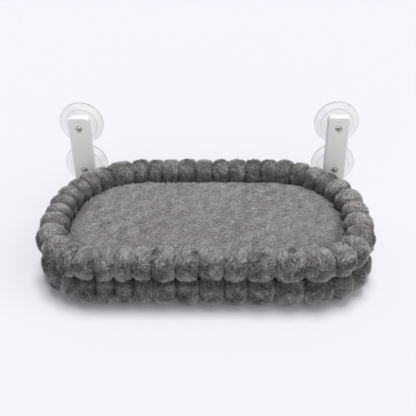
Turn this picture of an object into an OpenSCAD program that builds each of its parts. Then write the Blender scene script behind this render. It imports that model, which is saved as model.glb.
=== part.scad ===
// Window mounted cat perch: a plush bed in a two-tier bubble bolster on a steel
// hoop, hinged to two upright plastic arms that hold to the window by suction cups.
// X runs along the bed, +Y points to the window, +Z is up. The origin is on the floor,
// under the centre of the whole object. All lengths are in millimetres.

/* [Bed] */
// Overall length of the bolster ring
bed_length = 576; // [540:1:640]
// Overall depth of the bolster ring
bed_depth = 338; // [320:1:380]
// Thickness of one bolster tier, seen from above
tier_width = 52.4; // [46:0.2:56]
// Height of one bolster tier
tier_height = 52.4; // [48:0.2:58]
// Bend radius of the two front corners, on the bolster's centreline
front_corner_r = 90; // [62:1:100]
// Bend radius of the two back corners, on the bolster's centreline
back_corner_r = 148; // [120:1:160]
// Gap between the bolster's back and the window
window_gap = 8; // [4:0.5:20]
// Thickness of the sleeping pad at its edge
pad_edge_h = 10; // [8:0.5:12]
// Extra height of the pad's crown at its middle
pad_crown = 3; // [1:0.5:6]
// Thickness of the foam in the pad
foam_h = 7; // [4:0.5:8]
// Thickness of the sling and of the base panel
cloth_t = 1.5; // [0.8:0.1:2]

/* [Hoop] */
// Outer diameter of the steel tube
tube_d = 12; // [10:0.5:13]
// Wall of the steel tube
tube_wall = 1.2; // [0.8:0.1:1.5]
// Bend radius of the hoop's front corners
hoop_bend_r = 58; // [50:1:66]
// Distance of the hoop's front run inside the bolster's centreline
hoop_front_inset = 18; // [17:0.5:22]
// Distance of the rear crossbar in front of the hinge
crossbar_back = 57; // [54:1:70]
// Width of a webbing strap
strap_w = 25; // [15:1:40]
// Thickness of a webbing strap
strap_t = 1.2; // [0.8:0.1:1.6]

/* [Arms] */
// Distance between the centres of the two arms
arm_spacing = 493; // [488:1:500]
// Width of an arm
arm_w = 40; // [36:1:48]
// Thickness of an arm, front to back
arm_t = 16; // [15:0.5:20]
// Height of an arm
arm_h = 164; // [156:1:190]
// Height of an arm's lower end above the floor
arm_bottom_z = 30; // [24:1:32]
// Corner radius of an arm, seen from the front
arm_corner_r = 8; // [5:0.5:11]
// Rounding of the edge around an arm's front face
arm_edge_r = 1.6; // [0.8:0.1:2]
// Wall of an arm's casing
arm_wall = 2.2; // [1.8:0.1:2.6]
// Thickness of an arm's back plate
plate_t = 2.5; // [2:0.1:3]

/* [Suction cups] */
// Diameter of a cup's rim
cup_d = 85; // [78:1:88]
// Diameter of the moulded ring on a cup's face
cup_ring_d = 60; // [54:1:64]
// Height of a cup from the glass to its seat on the arm
cup_h = 13.8; // [13:0.1:16]
// Distance between an arm's two cups
cup_pitch = 89; // [88:0.5:100]
// Height of the lower cup above the arm's lower end
cup_rise = 52.8; // [50:0.2:56]

/* [Hinges] */
// Distance of the hinge axis in front of an arm's face
hinge_reach = 30; // [29:0.5:34]
// Radius of the hinge knuckle and its ears
knuckle_r = 9; // [8:0.2:9.4]
// Width of the hinge knuckle
knuckle_w = 14; // [13:0.5:15]
// Thickness of a bracket ear
ear_t = 3; // [2:0.2:3.4]
// Diameter of the hinge pin
pin_d = 5; // [4:0.2:6]

/* [Screws] */
// Diameter of the large screws' heads
head_d = 10.5; // [9:0.5:11]
// Diameter of the large screws' shanks
shank_d = 4; // [3:0.2:4.4]
// Diameter of the small screws' shanks
small_shank_d = 2.6; // [2:0.1:3]

/* [Hidden] */

// Clearances and the overrun of cuts
soft_gap = 0.3;
fit_gap = 0.05;
run_gap = 0.06;
side_gap = 0.3;
thread_gap = 0.03;
over = 1;
skin = 0.02;

// Bed: the bolster's centreline is a round-cornered rectangle, half_l by half_d
floor_flat = 0.5;
half_l = (bed_length - tier_width) / 2;
half_d = (bed_depth - tier_width) / 2;
glass_y = (bed_depth + window_gap) / 2;
bed_y = glass_y - window_gap - bed_depth / 2;
tier_side_r = tier_width / 2;
tier_high_r = tier_height / 2;
lower_z = tier_high_r - floor_flat;
joint_z = lower_z + tier_high_r + soft_gap / 2;
upper_z = joint_z + tier_high_r + soft_gap / 2;
front_len = half_l - front_corner_r;
front_arc = PI * front_corner_r / 2;
side_len = 2 * half_d - front_corner_r - back_corner_r;
back_arc = PI * back_corner_r / 2;
back_len = half_l - back_corner_r;
half_len = front_len + front_arc + side_len + back_arc + back_len;
ring_len = 2 * half_len;

// Lobes: widths as shares of the ring, from the front's middle towards +X and round
lobe_shares = [
    40, 37, 44, 48, 43, 34, 30, 38, 38, 36, 40, 34, 26, 31, 31, 31, 31, 31, 31, 32, 33,
    33, 32, 28, 31, 47, 30, 28, 27, 28, 29, 26, 37, 40, 38, 27, 28, 29, 32, 31, 38, 36
];
lobe_start_share = -0.0057;
lobe_sides = 10;
lobe_rings = 3;
seam_draw_share = 0.79;
lobe_total = lobe_sum(len(lobe_shares));

// Arm places, hinge axis and hoop
arm_x = arm_spacing / 2;
arm_back_y = glass_y - cup_h;
arm_front_y = arm_back_y - arm_t;
arm_top_z = arm_bottom_z + arm_h;
low_cup_z = arm_bottom_z + cup_rise;
high_cup_z = low_cup_z + cup_pitch;
cup_zs = [low_cup_z, high_cup_z];
hinge_y = arm_front_y - hinge_reach;
hinge_z = joint_z;
tube_r = tube_d / 2;
barrel_wall = 2.4;
barrel_r = tube_r + barrel_wall;
barrel_len = 34;
socket_floor = 1.5;
neck_gap = 0.6;
neck_half_h = 6;
leg_end_y = hinge_y - knuckle_r - socket_floor;
hoop_y = bed_y - half_d + hoop_front_inset;
bend_x = arm_x - hoop_bend_r;
bend_y = hoop_y + hoop_bend_r;
crossbar_y = hinge_y - crossbar_back;
crossbar_end_gap = 3;
crossbar_half = arm_x - tube_r - crossbar_end_gap;
fitting_len = 22;
fitting_reach = 26;
fitting_screw_x = 18;
fitting_screw_y = 8;
barrel_screw_y = 22;
strap_r = tube_r + soft_gap + strap_t;
channel_r = strap_r + soft_gap;
front_strap_x = 130;
side_strap_shares = [0.352, 0.8];
leg_free = crossbar_y - fitting_len / 2 - bend_y;

// Cloth panels and pad, above and below the straps and fittings
frame_r = max(strap_r, barrel_r);
sling_z = joint_z + frame_r + soft_gap;
base_z = joint_z - frame_r - soft_gap - cloth_t;
panel_inset = 22;
pad_z = sling_z + cloth_t + soft_gap;
pad_inset = tier_side_r + soft_gap;
pad_side_draw = 3;
pad_low_share = 0.35;
pad_high_share = 0.7;
pad_points = 72;
pad_rings = 5;
foam_margin = 6;
foam_inset = pad_inset + foam_margin;
foam_lift = (pad_edge_h - foam_h) / 2;

// Arm casing
plate_gap = 0.15;
edge_steps = 4;
boss_wall = 1.8;
sink_d = 13.4;
sink_h = 3.6;
boss_r = sink_d / 2 + boss_wall;
shank_r = shank_d / 2;
hole_gap = 0.2;
peg_r = 1.4;
peg_rise = 13.5;
peg_sunk = 0.4;
peg_into_cup = 1.4;
washer_t = 0.8;
washer_gap = 0.6;
head_h = 2.4;
slot_w = 1.1;
slot_depth = 1.2;
slot_share = 0.6;
head_shares = [[1, 0], [1, 0.45], [0.84, 0.8], [0.54, 1]];

// Cup profile, radius and distance from the glass
rim_t = 1;
cup_boss_h = 2.3;
ring_drop = 3.7;
ring_step = 0.7;
dome_r = 24;
dome_h = cup_h - cup_boss_h;
ring_h = dome_h - ring_drop;
boss_top_r = 11;
land_w = 4;
dome_wall = 4.7;
hollow_mid_r = 30;
hollow_mid_drop = 2.2;
hollow_in_r = 18;
hollow_in_drop = 0.5;
hollow_h = dome_h - dome_wall;
insert_r = 3.9;
insert_floor = 1;
insert_h = cup_h - hollow_h - insert_floor;
screw_tip = 0.8;

// Hinge bracket
web_t = 2.5;
web_low_gap = 4.85;
web_high_gap = 2.25;
web_down = hinge_z - arm_bottom_z - arm_wall - web_low_gap;
web_up = low_cup_z - boss_r - web_high_gap - hinge_z;
ear_x = knuckle_w / 2 + side_gap;
web_half = ear_x + ear_t;
tail_top = 1;
tail_gap = 0.3;
post_r = 4.4;
post_low_margin = 4.5;
post_high_margin = 6;
post_down = web_down - post_low_margin;
post_up = web_up - post_high_margin;
small_r = small_shank_d / 2;
small_head_r = 2.9;
small_head_h = 1.4;
small_tip = 3;
pin_r = pin_d / 2;
pin_head_r = 4.2;
pin_head_h = 1.6;
clip_t = 0.8;
clip_r = 4.2;
groove_r = 1.9;
pin_end = 1.4;
web_y = arm_front_y + arm_wall;

// Colours as the photograph shows them
plush = [0.52, 0.51, 0.51];
abs_white = [0.92, 0.92, 0.91];
clear_pvc = [0.86, 0.86, 0.89, 0.4];
steel = [0.72, 0.73, 0.74];
webbing = [0.25, 0.25, 0.27];

// Sum of the first n lobe shares
function lobe_sum(n) = n <= 0 ? 0 : lobe_shares[n - 1] + lobe_sum(n - 1);

// Point and outward direction on half the ring, s along it from the front's middle
function half_path(s) =
    s < front_len ? [s, -half_d, -90] :
    s < front_len + front_arc ?
        arc_point(half_l - front_corner_r, front_corner_r - half_d, front_corner_r,
            -90 + (s - front_len) / front_arc * 90) :
    s < front_len + front_arc + side_len ?
        [half_l, front_corner_r - half_d + s - front_len - front_arc, 0] :
    s < half_len - back_len ?
        arc_point(half_l - back_corner_r, half_d - back_corner_r, back_corner_r,
            (s - front_len - front_arc - side_len) / back_arc * 90) :
    [half_len - s, half_d, 90];

function arc_point(cx, cy, r, a) = [cx + r * cos(a), cy + r * sin(a), a];

// Point and outward direction on the whole ring, for a share u of its length
function ring_path(u) =
    let (s = (u - floor(u)) * ring_len)
    s <= half_len ? half_path(s) :
    let (p = half_path(ring_len - s)) [-p[0], p[1], 180 - p[2]];

// Centre and size of each ring of a tier: drawn in at the seams, full between them
function tier_rings() = [
    for (i = [0 : len(lobe_shares) - 1], k = [0 : lobe_rings - 1])
        let (u = lobe_start_share + (lobe_sum(i) + lobe_shares[i] * k / lobe_rings) / lobe_total)
        concat(ring_path(u), [k == 0 ? seam_draw_share : 1])
];

// One corner of a tier's ring, cut flat where the tier meets the floor or its twin
function tier_point(p, j, mid_z, low, high) =
    let (a = 360 * j / lobe_sides)
    let (out = tier_side_r * p[3] * cos(a))
    let (up = tier_high_r * p[3] * sin(a) / sin(90 - 180 / lobe_sides))
    [p[0] + out * cos(p[2]), bed_y + p[1] + out * sin(p[2]), min(high, max(low, mid_z + up))];

// Triangles of a closed sweep of n rings with m sides
function loop_faces(n, m) = [
    for (i = [0 : n - 1], j = [0 : m - 1])
        let (a = i * m + j, b = i * m + (j + 1) % m)
        let (c = ((i + 1) % n) * m + j, d = ((i + 1) % n) * m + (j + 1) % m)
        each [[a, b, d], [a, d, c]]
];

// A tier of the bolster, with the hoop's channel through it
module tier(mid_z, low, high) {
    rings = tier_rings();
    points = [
        for (p = rings, j = [0 : lobe_sides - 1]) tier_point(p, j, mid_z, low, high)
    ];
    difference() {
        polyhedron(points, loop_faces(len(rings), lobe_sides));
        hoop_run(channel_r);
        crossbar_run(barrel_r + soft_gap, fitting_reach + soft_gap);
        crossbar_solid(tube_r + soft_gap, crossbar_half);
        for (side = [-1, 1]) {
            leg_room(side);
            hinge_room(side);
            arm_room(side);
        }
    }
}

// Space for the crossbar's fittings and the knuckle's barrel on one leg
module leg_room(side) {
    room_r = barrel_r + soft_gap;
    translate([side * arm_x, crossbar_y - fitting_len / 2 - soft_gap, joint_z])
        rotate([-90, 0, 0])
            cylinder(r = room_r, h = hinge_y + knuckle_r - crossbar_y + fitting_len / 2, $fn = 48);
}

// Space for the knuckle, the bracket's ears and the ends of the pin
module hinge_room(side) {
    room_r = knuckle_r + soft_gap;
    room_half = web_half + soft_gap;
    pin_half = web_half + side_gap / 2 + clip_t + pin_end + soft_gap;
    translate([side * arm_x, hinge_y, hinge_z]) {
        rotate([0, 90, 0]) cylinder(r = room_r, h = 2 * room_half, center = true, $fn = 64);
        rotate([0, 90, 0])
            cylinder(r = pin_head_r + soft_gap, h = 2 * pin_half, center = true, $fn = 48);
        translate([-room_half, 0, -room_r])
            cube([2 * room_half, hinge_reach, 2 * room_r]);
    }
}

// Space for an arm
module arm_room(side) {
    translate([side * arm_x - arm_w / 2 - soft_gap, arm_front_y - soft_gap,
        arm_bottom_z - soft_gap])
        cube([arm_w + 2 * soft_gap, arm_t + cup_h + soft_gap, arm_h + 2 * soft_gap]);
}

module upper_bolster() {
    color(plush) tier(upper_z, joint_z + soft_gap / 2, upper_z + tier_height);
}

module lower_bolster() {
    color(plush) tier(lower_z, 0, joint_z - soft_gap / 2);
}

// Plan outline of the bed, inset from the bolster's centreline
module bed_outline(inset) {
    l = half_l - inset;
    d = half_d - inset;
    fr = front_corner_r - inset;
    br = back_corner_r - inset;
    union() {
        polygon([
            [-l + fr, -d], [l - fr, -d], [l, -d + fr], [l, d - br],
            [l - br, d], [-l + br, d], [-l, d - br], [-l, -d + fr]
        ]);
        for (side = [-1, 1]) {
            translate([side * (l - fr), -d + fr]) quarter_disc(fr, side, -1);
            translate([side * (l - br), d - br]) quarter_disc(br, side, 1);
        }
    }
}

// A quarter of a disc, on the given sides of its centre
module quarter_disc(r, side_x, side_y) {
    intersection() {
        circle(r = r, $fn = 96);
        translate([side_x > 0 ? 0 : -r, side_y > 0 ? 0 : -r]) square(r);
    }
}

module panel(z, t, inset) {
    translate([0, bed_y, z]) linear_extrude(t) bed_outline(inset);
}

// Pad: sides drawn in at top and bottom, and a crown that rises to the middle
function pad_ring(inset_share, z) = [
    for (j = [0 : pad_points - 1])
        let (p = ring_path(j / pad_points))
        let (x = p[0] - pad_inset * cos(p[2]), y = p[1] - pad_inset * sin(p[2]))
        [x * inset_share, bed_y + y * inset_share, z]
];

function pad_side_share() = 1 - pad_side_draw / half_d;

module sleeping_pad() {
    side = pad_side_share();
    tops = [
        for (k = [0 : pad_rings - 1])
            let (t = k / pad_rings)
            [side * (1 - t), pad_z + pad_edge_h + pad_crown * sin(90 * t)]
    ];
    rows = concat(
        [[side, pad_z], [1, pad_z + pad_edge_h * pad_low_share],
            [1, pad_z + pad_edge_h * pad_high_share]], tops);
    n = len(rows);
    points = concat(
        [for (r = rows) each pad_ring(r[0], r[1])],
        [[0, bed_y, pad_z], [0, bed_y, pad_z + pad_edge_h + pad_crown]]);
    low = n * pad_points;
    faces = concat(
        [for (i = [0 : n - 2], j = [0 : pad_points - 1])
            let (a = i * pad_points + j, b = i * pad_points + (j + 1) % pad_points)
            each [[a, b + pad_points, b], [a, a + pad_points, b + pad_points]]],
        [for (j = [0 : pad_points - 1]) [low, j, (j + 1) % pad_points]],
        [for (j = [0 : pad_points - 1])
            let (a = (n - 1) * pad_points + j, b = (n - 1) * pad_points + (j + 1) % pad_points)
            [low + 1, b, a]]);
    color(plush) difference() {
        polyhedron(points, faces);
        panel(pad_z + foam_lift - soft_gap, foam_h + 2 * soft_gap, foam_inset - soft_gap);
    }
}

module pad_foam() {
    color("gainsboro") panel(pad_z + foam_lift, foam_h, foam_inset);
}

module sling_panel() {
    color("dimgray") panel(sling_z, cloth_t, panel_inset);
}

module base_panel() {
    color("dimgray") panel(base_z, cloth_t, panel_inset);
}

// The hoop's run at radius r: front, two bends and two legs to the knuckles
module hoop_run(r, extra = 0) {
    translate([-bend_x, hoop_y, joint_z])
        rotate([0, 90, 0]) cylinder(r = r, h = 2 * bend_x, $fn = 48);
    for (side = [-1, 1]) {
        translate([side * bend_x, bend_y, joint_z])
            rotate([0, 0, side > 0 ? -90 : 180])
                rotate_extrude(angle = 90, $fn = 96)
                    translate([hoop_bend_r, 0]) circle(r = r, $fn = 48);
        translate([side * arm_x, bend_y, joint_z])
            rotate([-90, 0, 0]) cylinder(r = r, h = leg_end_y - bend_y + extra, $fn = 48);
    }
}

module hoop_tube() {
    color(steel) difference() {
        hoop_run(tube_r);
        hoop_run(tube_r - tube_wall, over);
        for (side = [-1, 1]) {
            leg_screws(side, true);
        }
    }
}

// A fitting's reach along the crossbar, at both ends
module crossbar_run(r, reach) {
    for (side = [-1, 1]) {
        translate([side * arm_x, crossbar_y, joint_z])
            rotate([0, -side * 90, 0]) cylinder(r = r, h = reach, $fn = 48);
    }
}

module crossbar_solid(r, half) {
    translate([-half, crossbar_y, joint_z])
        rotate([0, 90, 0]) cylinder(r = r, h = 2 * half, $fn = 48);
}

module rear_crossbar() {
    color(steel) difference() {
        crossbar_solid(tube_r, crossbar_half);
        crossbar_solid(tube_r - tube_wall, crossbar_half + over);
        for (side = [-1, 1]) {
            bar_screw(side, true);
        }
    }
}

module crossbar_fittings() {
    color("dimgray") difference() {
        for (side = [-1, 1]) {
            union() {
                translate([side * arm_x, crossbar_y - fitting_len / 2, joint_z])
                    rotate([-90, 0, 0]) cylinder(r = barrel_r, h = fitting_len, $fn = 48);
                translate([side * arm_x, crossbar_y, joint_z])
                    rotate([0, -side * 90, 0]) cylinder(r = barrel_r, h = fitting_reach, $fn = 48);
            }
        }
        for (side = [-1, 1]) {
            translate([side * arm_x, crossbar_y - fitting_len, joint_z])
                rotate([-90, 0, 0]) cylinder(r = tube_r + fit_gap, h = 2 * fitting_len, $fn = 48);
            bar_screw(side, true);
            leg_screws(side, true);
        }
        crossbar_solid(tube_r + fit_gap, crossbar_half);
    }
}

// A small countersunk screw from below, its head flush with a barrel; grown, it is its hole
module rising_screw(x, y, grown) {
    gap = grown ? thread_gap : 0;
    down = grown ? over : 0;
    translate([x, y, joint_z - barrel_r + small_head_h / 2]) difference() {
        union() {
            translate([0, 0, -down])
                cylinder(r = small_head_r + gap, h = small_head_h / 2 + down + gap, $fn = 32);
            cylinder(r = small_r + gap, h = barrel_wall + tube_wall + small_tip + gap, $fn = 32);
        }
        if (!grown) {
            cross_slot(small_head_r, slot_w / 2, small_head_h / 2);
        }
    }
}

module bar_screw(side, grown) {
    rising_screw(side * (arm_x - fitting_screw_x), crossbar_y, grown);
}

module leg_screws(side, grown) {
    rising_screw(side * arm_x, crossbar_y - fitting_screw_y, grown);
    rising_screw(side * arm_x, hinge_y - barrel_screw_y, grown);
}

module frame_screws() {
    color("silver") for (side = [-1, 1]) {
        bar_screw(side, false);
        leg_screws(side, false);
    }
}

// Cross-shaped recess in a head that faces -Z
module cross_slot(head_r, w, depth) {
    for (turn = [0, 90]) {
        rotate([0, 0, turn])
            translate([-head_r * slot_share, -w / 2, -depth])
                cube([2 * head_r * slot_share, w, 2 * depth]);
    }
}

// A strap's loop round the tube, its axis along X
module strap_loop() {
    rotate([0, 90, 0]) difference() {
        cylinder(r = strap_r, h = strap_w, center = true, $fn = 48);
        cylinder(r = tube_r + soft_gap, h = strap_w + over, center = true, $fn = 48);
    }
}

module webbing_straps() {
    color(webbing) for (side = [-1, 1]) {
        translate([side * front_strap_x, hoop_y, joint_z]) strap_loop();
        for (share = side_strap_shares) {
            translate([side * arm_x, bend_y + share * leg_free, joint_z])
                rotate([0, 0, 90]) strap_loop();
        }
    }
}

// Knuckle on the end of a leg: hinge barrel, tube socket and a tail that is the stop
module knuckle(side) {
    tail_len = hinge_reach - tail_gap;
    translate([side * arm_x, hinge_y, hinge_z]) difference() {
        union() {
            rotate([0, 90, 0]) cylinder(r = knuckle_r, h = knuckle_w, center = true, $fn = 64);
            translate([0, -knuckle_r - neck_gap, 0]) rotate([90, 0, 0])
                cylinder(r = barrel_r, h = barrel_len - knuckle_r - neck_gap, $fn = 48);
            translate([-knuckle_w / 2, -knuckle_r - neck_gap - over, -neck_half_h])
                cube([knuckle_w, knuckle_r + neck_gap + over, 2 * neck_half_h]);
            translate([-knuckle_w / 2, 0, -knuckle_r])
                cube([knuckle_w, tail_len, knuckle_r - tail_top]);
        }
        rotate([0, 90, 0])
            cylinder(r = pin_r + run_gap, h = knuckle_w + over, center = true, $fn = 48);
        translate([0, -knuckle_r - socket_floor + fit_gap, 0])
            rotate([90, 0, 0]) cylinder(r = tube_r + fit_gap, h = barrel_len, $fn = 48);
        translate([0, -hinge_y, -hinge_z])
            rising_screw(0, hinge_y - barrel_screw_y, true);
    }
}

module left_knuckle() {
    color("dimgray") knuckle(-1);
}

module right_knuckle() {
    color("dimgray") knuckle(1);
}

// Front view outline of an arm, inset all round
module arm_outline(inset) {
    w = arm_w / 2 - inset;
    r = arm_corner_r - inset;
    union() {
        translate([-w, arm_bottom_z + inset + r]) square([2 * w, arm_h - 2 * inset - 2 * r]);
        translate([-w + r, arm_bottom_z + inset]) square([2 * (w - r), arm_h - 2 * inset]);
        for (x = [-w + r, w - r], z = [arm_bottom_z + inset + r, arm_top_z - inset - r]) {
            translate([x, z]) circle(r = r, $fn = 64);
        }
    }
}

// A slab of the arm outline from y0 to y1
module arm_slab(y0, y1, inset) {
    translate([0, y1, 0]) rotate([90, 0, 0]) linear_extrude(y1 - y0) arm_outline(inset);
}

// Outside of a casing, its front edge rounded
module casing_outside() {
    hull() {
        for (k = [0 : edge_steps]) {
            a = 90 * k / edge_steps;
            inset = arm_edge_r * (1 - sin(a));
            y = arm_front_y + arm_edge_r * (1 - cos(a));
            arm_slab(y, y + skin, inset);
        }
        arm_slab(arm_back_y - skin, arm_back_y, 0);
    }
}

// A cylinder along Y from y0 to y1, on the axis at x and z
module along_y(x, z, r, y0, y1, sides = 48) {
    translate([x, y1, z]) rotate([90, 0, 0]) cylinder(r = r, h = y1 - y0, $fn = sides);
}

module arm_casing() {
    plate_y = arm_back_y - plate_t;
    difference() {
        union() {
            difference() {
                casing_outside();
                arm_slab(arm_front_y + arm_wall, arm_back_y + over, arm_wall);
            }
            for (z = cup_zs) {
                along_y(0, z, boss_r, arm_front_y + arm_wall - skin, plate_y);
            }
        }
        for (z = cup_zs) {
            along_y(0, z, sink_d / 2, arm_front_y - over, arm_front_y + sink_h);
            along_y(0, z, shank_r + hole_gap, arm_front_y - over, arm_back_y + over);
            along_y(0, z + peg_rise, peg_r + fit_gap, arm_front_y - over, arm_back_y + over, 32);
        }
        for (side = [-1, 1]) {
            translate([side > 0 ? ear_x - fit_gap : -web_half - fit_gap,
                arm_front_y - over, hinge_z - knuckle_r - fit_gap])
                cube([ear_t + 2 * fit_gap, arm_wall + 2 * over, 2 * knuckle_r + 2 * fit_gap]);
        }
    }
}

// Heights of the two posts that clamp the bracket's web
post_zs = [hinge_z - post_down, hinge_z + post_up];

module back_plate() {
    plate_y = arm_back_y - plate_t;
    difference() {
        union() {
            arm_slab(plate_y, arm_back_y, arm_wall + plate_gap);
            for (z = post_zs) {
                along_y(0, z, post_r, web_y + web_t, arm_back_y - plate_t + skin, 32);
            }
        }
        for (z = cup_zs) {
            along_y(0, z, shank_r + hole_gap, plate_y - over, arm_back_y + over);
            along_y(0, z + peg_rise, peg_r + fit_gap, plate_y - over, arm_back_y + over, 32);
        }
        for (z = post_zs) {
            along_y(0, z, small_r + thread_gap, web_y, arm_back_y + over, 32);
            along_y(0, z, small_head_r + thread_gap, arm_back_y - small_head_h, arm_back_y + over, 32);
        }
    }
}

// Cup, turned about the Y axis, with its peg hole and the seat of its insert
module cup(z) {
    r = cup_d / 2;
    ring_r = cup_ring_d / 2;
    difference() {
        translate([0, glass_y, z]) rotate([90, 0, 0]) rotate_extrude($fn = 96)
            polygon([
                [0, hollow_h], [hollow_in_r, hollow_h - hollow_in_drop],
                [hollow_mid_r, hollow_h - hollow_mid_drop],
                [r - land_w, 0], [r, 0], [r, rim_t],
                [ring_r + ring_step, ring_h - ring_step], [ring_r, ring_h],
                [ring_r - ring_step, ring_h + ring_step], [dome_r, dome_h],
                [boss_top_r + ring_step, dome_h], [boss_top_r, cup_h], [0, cup_h]
            ]);
        along_y(0, z, insert_r + thread_gap, arm_back_y - over, arm_back_y + insert_h);
        along_y(0, z + peg_rise, peg_r + fit_gap, arm_back_y - over,
            glass_y - dome_h + peg_into_cup + fit_gap, 32);
    }
}

module cup_inserts() {
    for (z = cup_zs) {
        difference() {
            along_y(0, z, insert_r, arm_back_y, arm_back_y + insert_h);
            along_y(0, z, shank_r + thread_gap, arm_back_y - over, arm_back_y + insert_h + over);
        }
    }
}

module washers() {
    seat_y = arm_front_y + sink_h;
    for (z = cup_zs) {
        difference() {
            along_y(0, z, sink_d / 2 - washer_gap, seat_y - washer_t, seat_y);
            along_y(0, z, shank_r + hole_gap, seat_y - washer_t - over, seat_y + over);
        }
    }
}

// Pan-head screw: domed head with a cross recess, shank through to the cup's insert
module arm_screws() {
    head_y = arm_front_y + sink_h - washer_t;
    for (z = cup_zs) {
        translate([0, head_y, z]) rotate([90, 0, 0]) difference() {
            union() {
                rotate_extrude($fn = 48) polygon(concat(
                    [[0, 0]], [for (p = head_shares) [p[0] * head_d / 2, p[1] * head_h]],
                    [[0, head_h]]
                ));
                translate([0, 0, head_y - arm_back_y - insert_h + screw_tip])
                    cylinder(r = shank_r, h = arm_back_y + insert_h - screw_tip - head_y, $fn = 48);
            }
            for (turn = [0, 90]) {
                rotate([0, 0, turn])
                    translate([-head_d * slot_share / 2, -slot_w / 2, head_h - slot_depth])
                        cube([head_d * slot_share, slot_w, slot_depth + over]);
            }
        }
    }
}

module locating_pegs() {
    for (z = cup_zs) {
        along_y(0, z + peg_rise, peg_r, arm_front_y + peg_sunk,
            glass_y - dome_h + peg_into_cup, 32);
    }
}

// Steel bracket: a web inside the casing and two ears out through its slots
module hinge_bracket() {
    difference() {
        union() {
            translate([-web_half, web_y, hinge_z - web_down])
                cube([2 * web_half, web_t, web_down + web_up]);
            for (side = [-1, 1]) {
                translate([side > 0 ? ear_x : -web_half, hinge_y, hinge_z - knuckle_r])
                    cube([ear_t, web_y + web_t - hinge_y, 2 * knuckle_r]);
                translate([side > 0 ? ear_x : -web_half, hinge_y, hinge_z])
                    rotate([0, 90, 0]) cylinder(r = knuckle_r, h = ear_t, $fn = 64);
            }
        }
        translate([-web_half - over, hinge_y, hinge_z])
            rotate([0, 90, 0]) cylinder(r = pin_r + thread_gap, h = 2 * (web_half + over), $fn = 48);
        for (z = post_zs) {
            along_y(0, z, small_r + thread_gap, web_y - over, web_y + web_t + over, 32);
        }
    }
}

// Screws from the back, through the posts and into the web
module bracket_screws() {
    for (z = post_zs) {
        difference() {
            union() {
                along_y(0, z, small_r, web_y + skin, arm_back_y, 32);
                along_y(0, z, small_head_r, arm_back_y - small_head_h + thread_gap, arm_back_y, 32);
            }
            translate([0, arm_back_y, z]) rotate([90, 0, 0])
                cross_slot(small_head_r, slot_w / 2, small_head_h / 2);
        }
    }
}

// Pin along X: head on the outer side, groove for the clip on the inner side
module hinge_pin(side) {
    groove_x = -web_half - side_gap / 2 - clip_t;
    translate([side * arm_x, hinge_y, hinge_z]) rotate([0, side * 90, 0]) difference() {
        union() {
            translate([0, 0, groove_x - pin_end])
                cylinder(r = pin_r, h = web_half - groove_x + pin_end, $fn = 48);
            translate([0, 0, web_half + fit_gap])
                cylinder(r = pin_head_r, h = pin_head_h, $fn = 48);
            translate([0, 0, web_half - over]) cylinder(r = pin_r, h = over + 2 * fit_gap, $fn = 48);
        }
        translate([0, 0, groove_x - fit_gap]) difference() {
            cylinder(r = pin_head_r, h = clip_t + 2 * fit_gap, $fn = 48);
            translate([0, 0, -over]) cylinder(r = groove_r, h = clip_t + 2 * over, $fn = 48);
        }
    }
}

module pin_clip(side) {
    groove_x = -web_half - side_gap / 2 - clip_t;
    translate([side * arm_x, hinge_y, hinge_z]) rotate([0, side * 90, 0])
        translate([0, 0, groove_x]) difference() {
            cylinder(r = clip_r, h = clip_t, $fn = 48);
            translate([0, 0, -over]) cylinder(r = groove_r + thread_gap, h = clip_t + 2 * over, $fn = 48);
            translate([0, -groove_r, -over]) cube([clip_r + over, 2 * groove_r, clip_t + 2 * over]);
        }
}

// Moves a piece modelled at x = 0 to one arm
module at_arm(side) {
    translate([side * arm_x, 0, 0]) children();
}

module left_arm_casing() { color(abs_white) at_arm(-1) arm_casing(); }
module left_back_plate() { color(abs_white) at_arm(-1) back_plate(); }
module left_upper_cup() { color(clear_pvc) at_arm(-1) cup(high_cup_z); }
module left_lower_cup() { color(clear_pvc) at_arm(-1) cup(low_cup_z); }
module left_cup_inserts() { color("goldenrod") at_arm(-1) cup_inserts(); }
module left_arm_screws() { color("silver") at_arm(-1) arm_screws(); }
module left_washers() { color("silver") at_arm(-1) washers(); }
module left_locating_pegs() { color("silver") at_arm(-1) locating_pegs(); }
module left_hinge_bracket() { color(steel) at_arm(-1) hinge_bracket(); }
module left_bracket_screws() { color("silver") at_arm(-1) bracket_screws(); }
module left_hinge_pin() { color("silver") hinge_pin(-1); }
module left_pin_clip() { color("gray") pin_clip(-1); }
module right_arm_casing() { color(abs_white) at_arm(1) arm_casing(); }
module right_back_plate() { color(abs_white) at_arm(1) back_plate(); }
module right_upper_cup() { color(clear_pvc) at_arm(1) cup(high_cup_z); }
module right_lower_cup() { color(clear_pvc) at_arm(1) cup(low_cup_z); }
module right_cup_inserts() { color("goldenrod") at_arm(1) cup_inserts(); }
module right_arm_screws() { color("silver") at_arm(1) arm_screws(); }
module right_washers() { color("silver") at_arm(1) washers(); }
module right_locating_pegs() { color("silver") at_arm(1) locating_pegs(); }
module right_hinge_bracket() { color(steel) at_arm(1) hinge_bracket(); }
module right_bracket_screws() { color("silver") at_arm(1) bracket_screws(); }
module right_hinge_pin() { color("silver") hinge_pin(1); }
module right_pin_clip() { color("gray") pin_clip(1); }

upper_bolster();
lower_bolster();
sleeping_pad();
pad_foam();
sling_panel();
base_panel();
hoop_tube();
rear_crossbar();
crossbar_fittings();
frame_screws();
webbing_straps();
left_knuckle();
right_knuckle();
left_arm_casing();
left_back_plate();
left_upper_cup();
left_lower_cup();
left_cup_inserts();
left_arm_screws();
left_washers();
left_locating_pegs();
left_hinge_bracket();
left_bracket_screws();
left_hinge_pin();
left_pin_clip();
right_arm_casing();
right_back_plate();
right_upper_cup();
right_lower_cup();
right_cup_inserts();
right_arm_screws();
right_washers();
right_locating_pegs();
right_hinge_bracket();
right_bracket_screws();
right_hinge_pin();
right_pin_clip();
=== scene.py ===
import math

import bmesh
import bpy
import numpy as np
from mathutils import Matrix, Vector
from mathutils.bvhtree import BVHTree


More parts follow.
